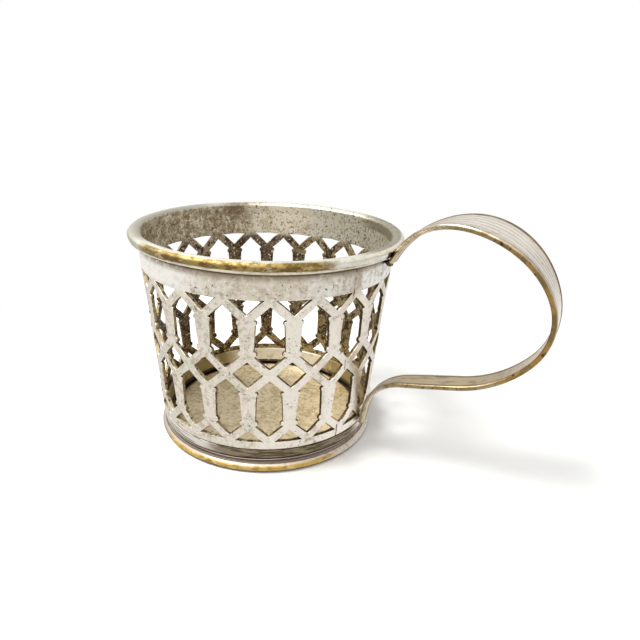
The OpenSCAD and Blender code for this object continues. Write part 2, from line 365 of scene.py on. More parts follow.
def base_collar(material):
    """Drawn collar: a waisted neck outside, an upstand inside the wall and a ledge over the floor."""
    # Places on the neck: how far up and how far in, both as shares
    shares = (
        (0, 1), (0.08, 0.62), (0.25, 0.34), (0.5, 0.16), (0.75, 0.08), (0.9, 0.1), (0.91, 0.45), (1, 0.45))
    neck = [(WALL_LOW_R - NECK_INSET * inset, NECK_Z0 + (WALL_Z0 - NECK_Z0) * rise) for rise, inset in shares]
    slit_r = COLLAR_IN_R - NEST_GAP
    bm = lathe(
        [(LEDGE_R, FOOT_H), (slit_r, FOOT_H), (slit_r, NECK_Z0)] + neck
        + [(COLLAR_R, WALL_Z0), (COLLAR_R, UPSTAND_TOP), (COLLAR_IN_R, UPSTAND_TOP),
           (COLLAR_IN_R, LEDGE_TOP), (LEDGE_R, LEDGE_TOP - COLLAR_T / 2)])
    soften(bm, 40, 0.12, 3)
    return piece("waisted_collar", bm, [material], "base_collar")


def foot_ring(material):
    """Flange foot with a full round edge and one fine turned line low on it."""
    roll = FOOT_H / 2
    centre = (FOOT_R - roll, roll)
    line = math.degrees(math.asin(LINE_SHARE * 2 - 1))
    bm = lathe(
        [(FOOT_INNER_R, 0), (centre[0], 0)] + arc(centre, roll, -80, line - 5, 10)
        + arc(centre, roll - LINE_DEPTH, line - 2, line + 2, 2) + arc(centre, roll, line + 5, 90, 24)
        + [(FOOT_INNER_R, FOOT_H)])
    soften(bm, 70, 0.12, 3)
    return piece("flange_foot", bm, [material], "foot_ring")


def bottom_plate(material):
    """Loose-fitting disc of sheet, slightly uneven."""
    rings = 48
    low = [(FLOOR_R * i / rings, FOOT_H) for i in range(rings + 1)]
    high = [(r, FOOT_H + FLOOR_T) for r, z in reversed(low)]
    bm = lathe(low + high, steps=192, closed=False)
    for v in bm.verts:
        if v.co.z > FOOT_H + FLOOR_T / 2:
            v.co.z -= 0.12 * (1 + wobble(v.co, 9, 4))
    return piece("floor_plate", bm, [material], "bottom_plate")


def strap_line(steps):
    """Centre line of the strap in the handle's plane, with its outward side, at equal steps of the way."""
    centre = Vector((BEAD_R_FROM_AXIS, BEAD_Z))
    rise = math.radians(STRAP_RISE)
    along, aside = Vector((math.cos(rise), math.sin(rise))), Vector((math.sin(rise), -math.cos(rise)))
    head = centre + (BEAD_R + EDGE_BEAD_T / 2 + NEST_GAP) * aside - STRAP_DROP * along
    foot = Vector((WALL_LOW_R + STRAP_SEAT + STRAP_T / 2, WALL_Z0))
    points, heading = [Vector((0, 0))], rise
    for size, turn in BENDS:
        start, fine = points[-1], 24
        if turn == 0:
            step = size / fine * Vector((math.cos(heading), math.sin(heading)))
            points += [start + step * k for k in range(1, fine + 1)]
            continue
        side = math.copysign(1, turn)
        hub = start + side * size * Vector((-math.sin(heading), math.cos(heading)))
        angles = [heading + math.radians(turn) * k / fine for k in range(1, fine + 1)]
        points += [hub + side * size * Vector((math.sin(a), -math.cos(a))) for a in angles]
        heading += math.radians(turn)
    span, free = foot - head, points[-1]
    size = span.length / free.length
    turn = Matrix.Rotation(math.atan2(span.y, span.x) - math.atan2(free.y, free.x), 2)
    points = [head + size * (turn @ p) for p in points]
    way = [0.0]
    for a, b in zip(points, points[1:]):
        way.append(way[-1] + (b - a).length)
    line, i = [], 0
    for k in range(steps + 1):
        goal = way[-1] * k / steps
        while i < len(way) - 2 and way[i + 1] < goal:
            i += 1
        line.append(points[i].lerp(points[i + 1], (goal - way[i]) / (way[i + 1] - way[i])))
    outward = []
    for k in range(steps + 1):
        run = (line[min(k + 2, steps)] - line[max(k - 2, 0)]).normalized()
        outward.append(Vector((-run.y, run.x)))
    return line, outward


def strap_width(share):
    """Width of the strap at a share of its way, eased between the listed places."""
    for i in range(len(WIDTHS) - 1):
        if share <= WIDTH_SHARES[i + 1]:
            t = (share - WIDTH_SHARES[i]) / (WIDTH_SHARES[i + 1] - WIDTH_SHARES[i])
            return WIDTHS[i] + (WIDTHS[i + 1] - WIDTHS[i]) * (1 - math.cos(math.pi * t)) / 2
    return WIDTHS[-1]


def strap_section(width):
    """Outline of the strap at a width: across, outward, and how far it is groove, edge bead and inner face.

    A bead counts least along its top, where a fine line stays pale as a painted highlight, and the outer flanks
    of the first and last ridge count as bead in part, since the wear reaches over them.
    """
    flat = width / 2 - EDGE_BEAD_W
    bead, half = EDGE_BEAD_T / 2, STRAP_T / 2
    fine = 8
    points = []
    for k in range(RIDGES * fine + 1):
        t = k / fine
        crest = abs(math.sin(math.pi * t))
        worn = max(0, 0.7 - min(t, RIDGES - t))
        height = half - RIDGE_H * (1 - crest ** 0.7)
        points.append((flat - 2 * flat * t / RIDGES, height, (1 - crest) ** 4, worn, 0))
    edge = [(math.cos(a), math.sin(a)) for a in (math.pi / 2 - math.pi * i / 12 for i in range(13))]
    left = [
        (-flat - EDGE_BEAD_W / 2 - x * EDGE_BEAD_W / 2 - 0.02, y * bead, 0, min(1, 0.15 + 1.3 * (1 - y)), 0)
        for x, y in edge]
    inner = [(-flat + 2 * flat * k / 12, -half, 1 if k in (0, 12) else 0, 0, 1) for k in range(13)]
    right = [(-x, -y, *parts) for x, y, *parts in left]
    return points + left + inner + right


def handle_strap(material):
    """Reeded strap with a round bead along each edge, bent into the loop and drawn in towards its ends.

    It carries four values for its finish: groove between the ridges, where the colour is darkened, rub where a
    hand wears the beads, the staining on the inner face of the lower run and at both ends, which at the upper
    end is also painted shade under the bead, and pit on the beads of the lower run.
    """
    steps = 320
    line, outward = strap_line(steps)
    round_steps = len(strap_section(WIDTHS[0]))
    bm = bmesh.new()
    bmesh.ops.create_grid(bm, x_segments=steps, y_segments=round_steps, size=0.5)
    groove, rub, stain_and_shade, pit = (bm.verts.layers.float.new(name) for name in ("groove", "rub", "stain_and_shade", "pit"))
    sections = [strap_section(strap_width(k / steps)) for k in range(steps + 1)]
    for v in bm.verts:
        k = round((v.co.x + 0.5) * steps)
        across, out, deep, bead, inner = sections[k][round((v.co.y + 0.5) * round_steps) % round_steps]
        place = line[k] + outward[k] * out
        share = k / steps
        v[groove] = deep
        v[rub] = bead * eased(share, 0.1, 0.18) * (1 - 0.6 * eased(share, 0.56, 0.7))
        # The staining at the upper end is also painted shade under the bead
        v[stain_and_shade] = max(
            inner * eased(share, 0.38, 0.58), 0.95 * (1 - eased(share, 0.06, 0.2)),
            0.7 * eased(share, 0.9, 0.96))
        v[pit] = bead * eased(share, 0.6, 0.68) * (1 - eased(share, 0.84, 0.92))
        v.co = (place.x, across, place.y)
    bmesh.ops.remove_doubles(bm, verts=bm.verts[:], dist=0.0005)
    bmesh.ops.holes_fill(bm, edges=[e for e in bm.edges if e.is_boundary], sides=0)
    bmesh.ops.recalc_face_normals(bm, faces=bm.faces[:])
    return piece("handle_strap_reeded", bm, [material], "handle_strap")


def solder_blob(name, centre, radii, turn, node, material, seed):
    """A small lump of solder: a ball, squashed, turned in the handle's plane and made uneven."""
    bm = bmesh.new()
    bmesh.ops.create_icosphere(bm, subdivisions=4, radius=1)
    for v in bm.verts:
        v.co *= 1 + 0.16 * wobble(v.co, 0.7, seed)
    bmesh.ops.scale(bm, vec=radii, verts=bm.verts)
    bmesh.ops.rotate(bm, cent=(0, 0, 0), matrix=Matrix.Rotation(math.radians(turn), 3, "Y"), verts=bm.verts)
    bmesh.ops.translate(bm, vec=centre, verts=bm.verts)
    return piece(name, bm, [material], node)


def wall_seam(material):
    """The line of solder up the wall's joint: low, narrow and uneven, broken by the piercings."""
    first, second, third = (CROSS_Z0 + row * ROW_H for row in range(ROWS + 1))
    spans = ((WALL_Z0 + 0.1, first + STRUT_HALF_H), (second - STRUT_HALF_H, second + STRUT_HALF_H),
             (third - STRUT_HALF_H, WALL_Z1 - 0.1))
    bm = bmesh.new()
    for low, high in spans:
        grid = bmesh.ops.create_grid(bm, x_segments=8, y_segments=round((high - low) * 6), size=0.5)
        for v in grid["verts"]:
            z = low + (v.co.y + 0.5) * (high - low)
            across = v.co.x * (0.72 + 0.3 * wobble((z, 0, 0), 1.1, 6)) + 0.12 * wobble((z, 3, 0), 2.5, 9)
            a = SEAM_TURN + across / wall_radius(z)
            spot = on_wall(a, z)
            hump = math.cos(math.pi * v.co.x)
            lift = wall_sway(spot) + 0.18 * hump * (1 + 0.5 * wobble((z, across, 0), 0.5, 1)) - 0.1
            v.co = spot + lift * outwards(spot)
    return piece("wall_seam_line", bm, [material], "wall_seam")


# Patterns

def patches(tree, place, size, low, high, top=1.0, detail=4, stretch=(1, 1, 1)):
    """Mask of patches about a size in millimetres: 0 where their noise is under low, and top over high.

    A pixel of the render covers 0.3 mm of the cup. So the pits and the grain of the real plate, which go down
    to about 0.1 mm, are drawn at 0.5 mm or coarser, so that they show.
    """
    spread = add(tree, "ShaderNodeVectorMath", {0: place, 1: stretch}, operation="MULTIPLY")
    cloud = add(tree, "ShaderNodeTexNoise", {
        "Vector": spread.outputs[0], "Scale": 1 / (size * MM), "Detail": detail, "Roughness": 0.62})
    return add(tree, "ShaderNodeMapRange", {
        "Value": cloud.outputs["Fac"], "From Min": low, "From Max": high, "To Max": top},
        interpolation_type="SMOOTHSTEP").outputs["Result"]


def zone(tree, place, way, low, high, top=1.0):
    """Mask that climbs from 0 to top while a place goes from low to high, in millimetres.

    The way is a vector that picks the coordinate, such as UP for the height, or "out" for the distance
    from the cup's axis. With low above high the mask falls instead.
    """
    if way == "out":
        flat = add(tree, "ShaderNodeVectorMath", {0: place, 1: (1, 1, 0)}, operation="MULTIPLY").outputs[0]
        reach = add(tree, "ShaderNodeVectorMath", {0: flat}, operation="LENGTH").outputs["Value"]
    else:
        reach = add(tree, "ShaderNodeVectorMath", {0: place, 1: way}, operation="DOT_PRODUCT").outputs["Value"]
    return add(tree, "ShaderNodeMapRange", {
        "Value": reach, "From Min": low * MM, "From Max": high * MM, "To Max": top},
        interpolation_type="SMOOTHSTEP").outputs["Result"]


def sector(tree, place, azimuth, half, fade, top=1.0):
    """Mask of a sector round the axis, in degrees: top within half an angle of the azimuth, fading to 0."""
    flat = add(tree, "ShaderNodeVectorMath", {0: place, 1: (1, 1, 0)}, operation="MULTIPLY").outputs[0]
    side = add(tree, "ShaderNodeVectorMath", {0: flat}, operation="NORMALIZE").outputs[0]
    way = (math.cos(math.radians(azimuth)), math.sin(math.radians(azimuth)), 0)
    lean = add(tree, "ShaderNodeVectorMath", {0: side, 1: way}, operation="DOT_PRODUCT").outputs["Value"]
    edge, full = math.cos(math.radians(half + fade)), math.cos(math.radians(half))
    return add(tree, "ShaderNodeMapRange", {
        "Value": lean, "From Min": edge, "From Max": full, "To Max": top},
        interpolation_type="SMOOTHSTEP").outputs["Result"]


def where_all(tree, *masks):
    """Mask that is 1 only where each of the masks is."""
    whole = masks[0]
    for mask in masks[1:]:
        whole = add(tree, "ShaderNodeMath", {0: whole, 1: mask}, operation="MULTIPLY").outputs[0]
    return whole


def laid_over(tree, colour, *layers):
    """Colour with layers, each a mask and a colour, laid over it in turn. A colour is hex or a node output."""
    def value(shade):
        return linear(shade) if isinstance(shade, str) else shade
    under = value(colour)
    # Sockets 6 and 7 of a mix node are its two colours, and 2 and 3 its two plain values
    for mask, shade in layers:
        mix = add(tree, "ShaderNodeMix", {0: mask, 6: under, 7: value(shade)}, data_type="RGBA")
        under = mix.outputs[2]
    return under


def new_metal(name):
    """A metal material, with its node tree and the socket of the place on the object."""
    material = bpy.data.materials.new(name)
    material.use_nodes = True
    tree = material.node_tree
    tree.nodes["Principled BSDF"].inputs["Metallic"].default_value = 1.0
    return material, tree, add(tree, "ShaderNodeTexCoord").outputs["Object"]


def dress(tree, place, colour, dull, roughness, dent=0.07, dent_size=2.4):
    """Links the colour, a roughness that goes up where the metal is dull, and small dents and grain."""
    shader = tree.nodes["Principled BSDF"]
    rough = add(tree, "ShaderNodeMapRange", {"Value": dull, "To Min": roughness[0], "To Max": roughness[1]})
    waves = add(tree, "ShaderNodeTexNoise", {
        "Vector": place, "Scale": 1 / (dent_size * MM), "Detail": 6, "Roughness": 0.6})
    sunk = add(tree, "ShaderNodeMath", {0: dull, 1: -0.35, 2: waves.outputs["Fac"]}, operation="MULTIPLY_ADD")
    bump = add(tree, "ShaderNodeBump", {"Strength": 0.6, "Distance": dent * MM, "Height": sunk.outputs[0]})
    tree.links.new(colour, shader.inputs["Base Color"])
    tree.links.new(rough.outputs["Result"], shader.inputs["Roughness"])
    tree.links.new(bump.outputs["Normal"], shader.inputs["Normal"])


# Materials

def outside_plate():
    """Silver plate rubbed by hands: soft pinkish and greenish greys, a pale grain, and pits in small herds.

    The plain band is worn dull in front and painted brightest at the left as a highlight. The pierced part is
    painted darker at the left as shade, and a dark line under the bead is painted shade, partly dirt.
    """
    material, tree, place = new_metal("silver_plate_outside")
    stains = patches(tree, place, 2.6, 0.58, 0.74, 0.8, 6)
    pits = where_all(
        tree, patches(tree, place, 0.6, 0.59, 0.67, detail=2), patches(tree, place, 4.6, 0.52, 0.6))
    # Painted shade under the bead, partly dirt
    shade_and_dirt_under_bead = where_all(
        tree, zone(tree, place, UP, WALL_Z1 - 2.6, WALL_Z1 - 0.2), patches(tree, place, 1.7, 0.2, 0.5))
    # Painted shade, partly dirt: the darkest line just under the bead
    line = zone(tree, place, UP, WALL_Z1 - 0.7, WALL_Z1 - 0.1)
    band = zone(tree, place, UP, WALL_Z1 - 8, WALL_Z1 - 5)
    below = zone(tree, place, UP, WALL_Z1 - 6, WALL_Z1 - 9)
    seam_dirt = where_all(tree, band, sector(tree, place, -19.5, 0.6, 3, 0.6))
    handled = where_all(
        tree, band, sector(tree, place, -54, 14, 18), patches(tree, place, 4.3, 0.36, 0.56, 0.5))
    colour = laid_over(
        tree, "#E4DACB",
        (patches(tree, place, 8.2, 0.44, 0.62, 0.9, 3), "#D8D6C4"),
        (patches(tree, place, 5.9, 0.48, 0.66, 0.8, 3), "#E9DCD4"),
        (where_all(tree, band, sector(tree, place, -8, 22, 18)), "#E9E7E2"),
        (handled, "#C4B8A0"), (seam_dirt, "#A4987F"),
        (patches(tree, place, 1.5, 0.46, 0.64, 0.75, 6), "#B5A995"),
        (patches(tree, place, 0.9, 0.5, 0.7, 0.6, 6), "#F3EDE2"),
        # Painted highlight: the band is brightest at the left, where the lamp falls
        (where_all(tree, band, sector(tree, place, -132, 30, 22, 0.7)), "#FFFCF6"),
        # Painted shade: the pierced part is darker at the left, which tones down the lamp's highlight there
        (where_all(tree, sector(tree, place, -134, 18, 12, 0.6), below), "#D3CBBD"),
        (where_all(tree, sector(tree, place, -50, 8, 8, 0.6), below), "#F3ECDF"),
        (where_all(tree, sector(tree, place, -21, 6, 8, 0.7), below), "#F8F0E6"),
        (stains, "#9C8F78"), (pits, "#5E5344"), (shade_and_dirt_under_bead, "#8C7D68"), (line, "#554838"))
    dress(tree, place, colour, stains, (0.36, 0.6), 0.06)
    return material


def tarnish(tree, place):
    """Colour of the plate near the mouth, inside: beige, greyer on the right with a herd of specks.

    It is rough and brown at the left, and has one dark bloom at the back.
    """
    rough_side = sector(tree, place, 178, 34, 22)
    bloom = where_all(
        tree, sector(tree, place, 144, 1, 13, 0.85), zone(tree, place, UP, 50, 58),
        patches(tree, place, 3.1, 0.34, 0.6))
    return laid_over(
        tree, "#E9E0CD",
        (sector(tree, place, 56, 28, 24, 0.9), "#D4D1C1"),
        (patches(tree, place, 3.4, 0.48, 0.66, 0.8, 6), "#BFB091"),
        (where_all(tree, rough_side, patches(tree, place, 2.3, 0.38, 0.54)), "#A09178"),
        (where_all(tree, rough_side, patches(tree, place, 0.95, 0.5, 0.62)), "#CFC4AC"),
        (where_all(tree, sector(tree, place, 68, 9, 9), patches(tree, place, 0.9, 0.55, 0.61)), "#75674F"),
        (bloom, "#7D6B57"))


def inside_plate():
    """Tarnished plate inside: beige band over dark brown bars, all of it specked.

    The bars are golden low down and on the right, and paler high up at the left.
    """
    material, tree, place = new_metal("tarnished_plate_inside")
    bars = zone(tree, place, UP, WALL_Z1 - TOP_BAND_H + 0.5, WALL_Z1 - TOP_BAND_H - 2.5)
    crust = patches(tree, place, 0.75, 0.53, 0.64, 0.9, 3)
    low = zone(tree, place, UP, WALL_Z0 + 14, WALL_Z0 + 3)
    pale = where_all(tree, sector(tree, place, 172, 18, 14), zone(tree, place, UP, WALL_Z1 - 16, WALL_Z1 - 11))
    colour = laid_over(
        tree, tarnish(tree, place),
        (bars, "#75634F"), (where_all(tree, low, bars), "#A39167"),
        (where_all(tree, bars, sector(tree, place, 62, 30, 22)), "#AE9C72"),
        (where_all(tree, bars, pale), "#AFA18B"),
        (where_all(tree, bars, patches(tree, place, 2.2, 0.46, 0.56)), "#4A3A2D"),
        (crust, "#6E5B41"),
        (patches(tree, place, 0.62, 0.6, 0.67, 0.9, 2), "#EDE3CB"))
    dress(tree, place, colour, crust, (0.4, 0.66), 0.09, 1.2)
    return material


def cut_edge():
    """Sawn brass edges of the piercings: golden brown, painted tan at the front left as light, and painted dark
    on the right as shade.

    Black dirt sits in patches, with a few bright nicks painted as glints.
    """
    material, tree, place = new_metal("sawn_brass_edge")
    dirt = patches(tree, place, 1.3, 0.49, 0.62)
    colour = laid_over(
        tree, "#8F7F59", (patches(tree, place, 0.7, 0.46, 0.62), "#6E5D40"),
        # Painted light: tan at the front left, where the lamp lights the edges
        (sector(tree, place, -94, 26, 14, 0.8), "#A99B7E"), (dirt, "#3E3120"),
        # Painted glints: the bright nicks. Painted shade: dark on the right
        (patches(tree, place, 0.6, 0.62, 0.7), "#D9CDB0"), (sector(tree, place, -14, 30, 14, 0.85), "#463825"))
    dress(tree, place, colour, dirt, (0.6, 0.8), 0.08, 0.8)
    return material


def rubbed_highlit_edge():
    """Softened edges of the bars: plate kept cream by rubbing, and lighter still as a painted highlight along
    them.
    """
    material, tree, place = new_metal("rubbed_highlit_plate_edge")
    worn = patches(tree, place, 1.9, 0.5, 0.66)
    # The cream is rubbed plate, lighter still as a painted highlight along the edges
    colour = laid_over(tree, "#EDE5D3", (worn, "#B79F6B"), (patches(tree, place, 0.7, 0.58, 0.68), "#6E5B3C"))
    dress(tree, place, colour, worn, (0.32, 0.5), 0.04)
    return material


def rim_plate():
    """Rolled bead: pale plate on top, painted greyer at the left as shade, and olive brass along the worn front
    flank, painted darker towards the left as shade.

    Below the brass runs a pale lip with a dark line in its crease, and where the strap meets the bead it is
    painted black as shadow, partly dirt. The inner face has the tarnish of the wall inside, which reaches
    further up at the back and by the handle.
    """
    material, tree, place = new_metal("rolled_rim_plate")
    brass = where_all(
        tree, sector(tree, place, -73, 31, 12), patches(tree, place, 3.6, 0.26, 0.42),
        zone(tree, place, "out", BEAD_R_FROM_AXIS + 0.1, BEAD_R_FROM_AXIS + 0.6),
        zone(tree, place, UP, BEAD_Z + 1.1, BEAD_Z + 0.8), zone(tree, place, UP, BEAD_Z - 1.15, BEAD_Z - 0.95))
    ends = where_all(
        tree, sector(tree, place, -76, 37, 12), patches(tree, place, 2.4, 0.44, 0.6, 0.4, 6, (1, 1, 2)),
        zone(tree, place, "out", BEAD_R_FROM_AXIS + 0.6, BEAD_R_FROM_AXIS + 1.1))
    crease = where_all(
        tree, zone(tree, place, UP, BEAD_Z - 0.98, BEAD_Z - 1.1),
        zone(tree, place, UP, BEAD_Z - 1.34, BEAD_Z - 1.2), patches(tree, place, 4.1, 0.36, 0.6, 0.7))
    inner = where_all(
        tree, zone(tree, place, "out", THROAT_R + 0.5, THROAT_R + 0.08),
        zone(tree, place, UP, BEAD_Z + 1.1, BEAD_Z - 0.2))
    at_back = where_all(
        tree, sector(tree, place, 66, 70, 20), zone(tree, place, "out", THROAT_R + 1.35, THROAT_R + 0.9))
    by_handle = where_all(
        tree, sector(tree, place, 22, 30, 18), zone(tree, place, "out", THROAT_R + 2.7, THROAT_R + 2.2))
    for mask in (at_back, by_handle):
        inner = add(tree, "ShaderNodeMath", {0: inner, 1: mask}, operation="MAXIMUM").outputs[0]
    scratches = where_all(
        tree, sector(tree, place, -168, 24, 14),
        zone(tree, place, "out", BEAD_R_FROM_AXIS, BEAD_R_FROM_AXIS + 0.6),
        patches(tree, place, 0.7, 0.5, 0.58, 0.8, 2, (0.12, 0.12, 1.4)))
    lip = where_all(tree, sector(tree, place, -76, 40, 14), zone(tree, place, UP, BEAD_Z - 0.9, BEAD_Z - 1.1))
    # Painted shade: the bead is darkened at the left, which tones down the lamp's highlight there
    aside = sector(tree, place, -160, 36, 20, 0.9)
    # Painted shadow, partly dirt: black where the strap meets the bead
    joint = where_all(
        tree, sector(tree, place, -2, 4, 1.4), zone(tree, place, UP, BEAD_Z + 0.5, BEAD_Z - 0.2),
        zone(tree, place, "out", BEAD_R_FROM_AXIS, BEAD_R_FROM_AXIS + 0.5))
    colour = laid_over(
        tree, "#EBE8DC",
        (patches(tree, place, 5.3, 0.42, 0.62, 0.8, 3), "#DDDCCC"),
        (patches(tree, place, 0.8, 0.54, 0.68, 0.6), "#C4BCA9"),
        (patches(tree, place, 2.9, 0.58, 0.7, 0.8, 6), "#A4967A"),
        (aside, "#A39F91"), (scratches, "#8D8471"), (lip, "#EDE3CC"), (ends, "#A0937A"), (brass, "#9F8956"),
        # Painted shade: the brass is darkened towards the left, against the lamp's glow there
        (where_all(tree, brass, sector(tree, place, -114, 18, 14)), "#85744C"),
        (where_all(tree, brass, patches(tree, place, 3.1, 0.46, 0.6, detail=3, stretch=(1, 1, 2))), "#705A31"),
        (where_all(tree, brass, patches(tree, place, 2.6, 0.54, 0.66, 0.8, 3, (1, 1, 2))), "#BFAC7F"),
        (crease, "#6A5C47"), (inner, tarnish(tree, place)), (by_handle, "#A59E8A"),
        (where_all(tree, inner, patches(tree, place, 0.9, 0.54, 0.64)), "#7A6A50"), (joint, "#32271C"))
    dull = add(tree, "ShaderNodeMath", {0: aside, 1: brass}, operation="MAXIMUM").outputs[0]
    dress(tree, place, colour, dull, (0.42, 0.56), 0.06)
    return material


def collar_plate():
    """Drawn collar: olive tarnish inside, painted near white at the back as a reflection, and a dark edge along
    its ledge painted as shadow.

    The neck outside is pale with fine dirty lines and brown strokes in front, and darker in front as painted
    shade of the recess, partly dirt. Low down it has a black gap painted as shadow, and a pale flare.
    """
    material, tree, place = new_metal("collar_plate")
    neck = where_all(
        tree, zone(tree, place, "out", COLLAR_IN_R + 0.2, COLLAR_IN_R + 0.5),
        zone(tree, place, UP, WALL_Z0 + 0.1, WALL_Z0 - 0.3))
    # Painted shade of the recess, partly dirt: the neck is darker in front
    front = sector(tree, place, -45, 32, 15)
    strokes = where_all(tree, patches(tree, place, 1.6, 0.42, 0.6, stretch=(0.35, 0.35, 3)), front)
    lines = patches(tree, place, 1.1, 0.54, 0.62, 0.8, 2, (0.1, 0.1, 2.4))
    flare = zone(tree, place, UP, FOOT_H + 1.5, FOOT_H + 1.3)
    # Painted shadow: black in the slit between neck and foot
    gap = where_all(
        tree, zone(tree, place, UP, FOOT_H + 2.1, FOOT_H + 1.8),
        zone(tree, place, UP, FOOT_H + 1.3, FOOT_H + 1.5))
    # Painted shadow: a dark edge along the ledge, where it meets the floor
    ledge = where_all(
        tree, zone(tree, place, "out", COLLAR_IN_R + 0.1, COLLAR_IN_R - 0.05),
        zone(tree, place, UP, LEDGE_TOP + 0.15, LEDGE_TOP - 0.05), patches(tree, place, 3.2, 0.2, 0.44))
    colour = laid_over(
        # Painted reflection: near white on the upstand at the back
        tree, "#A2936F", (sector(tree, place, 114, 24, 16), "#FAF6EC"),
        (patches(tree, place, 2.8, 0.54, 0.68, 0.8), "#C9B88F"), (ledge, "#3A2E22"),
        (neck, "#DDD6CB"), (where_all(tree, neck, lines), "#5F574B"), (where_all(tree, neck, front), "#8C7F6A"),
        (where_all(tree, neck, strokes), "#5C4E39"), (where_all(tree, neck, flare), "#F8EEE5"),
        (where_all(tree, neck, gap), "#2A2119"))
    dress(tree, place, colour, strokes, (0.45, 0.6), 0.05)
    return material


def foot_plate():
    """Flange: pinkish plate on top with one dark turned line, palest in front and painted greyer at the left as
    shade.

    Its round edge is worn through to yellow brass in front, and painted black where it meets the table, as
    contact shadow.
    """
    material, tree, place = new_metal("flange_foot_plate")
    flank = where_all(
        tree, zone(tree, place, "out", FOOT_R - 1.3, FOOT_R - 0.9),
        zone(tree, place, UP, FOOT_H - 0.25, FOOT_H - 0.6))
    worn = where_all(tree, flank, sector(tree, place, -70, 37, 20), patches(tree, place, 4.2, 0.24, 0.4))
    # Painted shade: the flange is greyer at the left, which tones down the lamp's highlight there
    aside = sector(tree, place, -136, 36, 26)
    top = where_all(
        tree, zone(tree, place, "out", FOOT_R - 0.7, FOOT_R - 1.0), sector(tree, place, -64, 40, 20, 0.8))
    turned = where_all(
        tree, zone(tree, place, "out", FOOT_R - 1.3, FOOT_R - 1.1),
        zone(tree, place, "out", FOOT_R - 0.75, FOOT_R - 0.95), patches(tree, place, 3.3, 0.26, 0.46, 0.9))
    colour = laid_over(
        tree, "#D9CEC3", (patches(tree, place, 2.2, 0.5, 0.64, 0.8), "#C0B39F"),
        (patches(tree, place, 0.9, 0.54, 0.66, 0.7, stretch=(1, 1, 3)), "#96886F"),
        (top, "#F2E8DF"), (aside, "#A69D92"), (turned, "#6F6149"), (worn, "#C6A660"),
        (where_all(tree, worn, patches(tree, place, 3.1, 0.48, 0.6, 0.8, 3, (1, 1, 2))), "#94763C"),
        (where_all(tree, worn, patches(tree, place, 2.4, 0.54, 0.66, 0.8, 3, (1, 1, 2))), "#DCC78F"),
        # Painted contact shadow: black low on the edge, where it meets the table
        (zone(tree, place, UP, 0.85, 0.6), "#33271A"))
    dress(tree, place, colour, aside, (0.55, 0.68), 0.04)
    return material


def floor_plate_finish():
    """Inner floor: beige plate, evenly mottled and pricked with brown specks, and painted dark round its rim as
    shadow.
    """
    material, tree, place = new_metal("stained_floor_plate")
    specks = patches(tree, place, 1.1, 0.52, 0.7, 0.7)
    colour = laid_over(
        tree, "#D9CBAC", (patches(tree, place, 4.4, 0.42, 0.62, 0.9), "#BFAE8A"),
        (patches(tree, place, 1.5, 0.5, 0.66, 0.8), "#E6DCC4"), (specks, "#8D7A56"),
        (patches(tree, place, 1.3, 0.62, 0.72, 0.7), "#5C4C35"),
        # Painted shadow: dark round the rim, in the gap by the collar
        (zone(tree, place, "out", FLOOR_R - 1.0, FLOOR_R - 0.2), "#4A3C29"))
    dress(tree, place, colour, specks, (0.45, 0.7), 0.08, 1.4)
    return material


def strap_plate():
    """Reeded strap: warm silver plate with fine dark lines between its ridges, and brass along both beads.

    The inner face of the lower run and both ends are stained tan, and at the upper end the tan is painted shade
    under the bead too; the beads are pitted low down.
    """
    material, tree, place = new_metal("reeded_strap_plate")
    groove, rub, stain_and_shade, pit = (
        add(tree, "ShaderNodeAttribute", attribute_name=name).outputs["Fac"]
        for name in ("groove", "rub", "stain_and_shade", "pit"))
    brass = where_all(tree, rub, patches(tree, place, 4.4, 0.16, 0.34))
    lines = where_all(tree, groove, patches(tree, place, 6.4, 0.3, 0.56, 0.9, 2))
    side = zone(tree, place, (1, 0, 0), 62, 72)
    colour = laid_over(
        tree, "#F7EEDF",
        (patches(tree, place, 7.4, 0.44, 0.62, 0.8, 3), "#EAE2D6"),
        (patches(tree, place, 0.7, 0.5, 0.66, 0.2), "#D6CBB9"),
        (patches(tree, place, 2.7, 0.6, 0.72, 0.6, 6), "#BBAE96"),
        (stain_and_shade, "#C4B18E"), (lines, "#998B75"),
        (where_all(tree, stain_and_shade, patches(tree, place, 2.1, 0.48, 0.62, 0.7, 4, (0.3, 1, 1))), "#8F7D5E"),
        (where_all(tree, stain_and_shade, groove), "#5E503C"),
        (pit, "#A18F6F"), (where_all(tree, pit, patches(tree, place, 0.9, 0.54, 0.62)), "#5A4933"),
        (brass, "#917F5A"), (where_all(tree, brass, side), "#A17F48"),
        (where_all(tree, brass, patches(tree, place, 4.1, 0.46, 0.6, detail=3)), "#7A6642"),
        (where_all(tree, brass, patches(tree, place, 1.7, 0.6, 0.67)), "#43331F"))
    dress(tree, place, colour, brass, (0.3, 0.4), 0.04)
    return material


def lead_solder(name, pale, dark):
    """Soft solder: dull grey, grainy, darker where flux and dirt sit."""
    material, tree, place = new_metal(name)
    dirt = patches(tree, place, 1.2, 0.44, 0.6)
    colour = laid_over(tree, pale, (patches(tree, place, 0.5, 0.5, 0.66), dark), (dirt, "#5B5043"))
    dress(tree, place, colour, dirt, (0.4, 0.65), 0.08, 0.9)
    return material


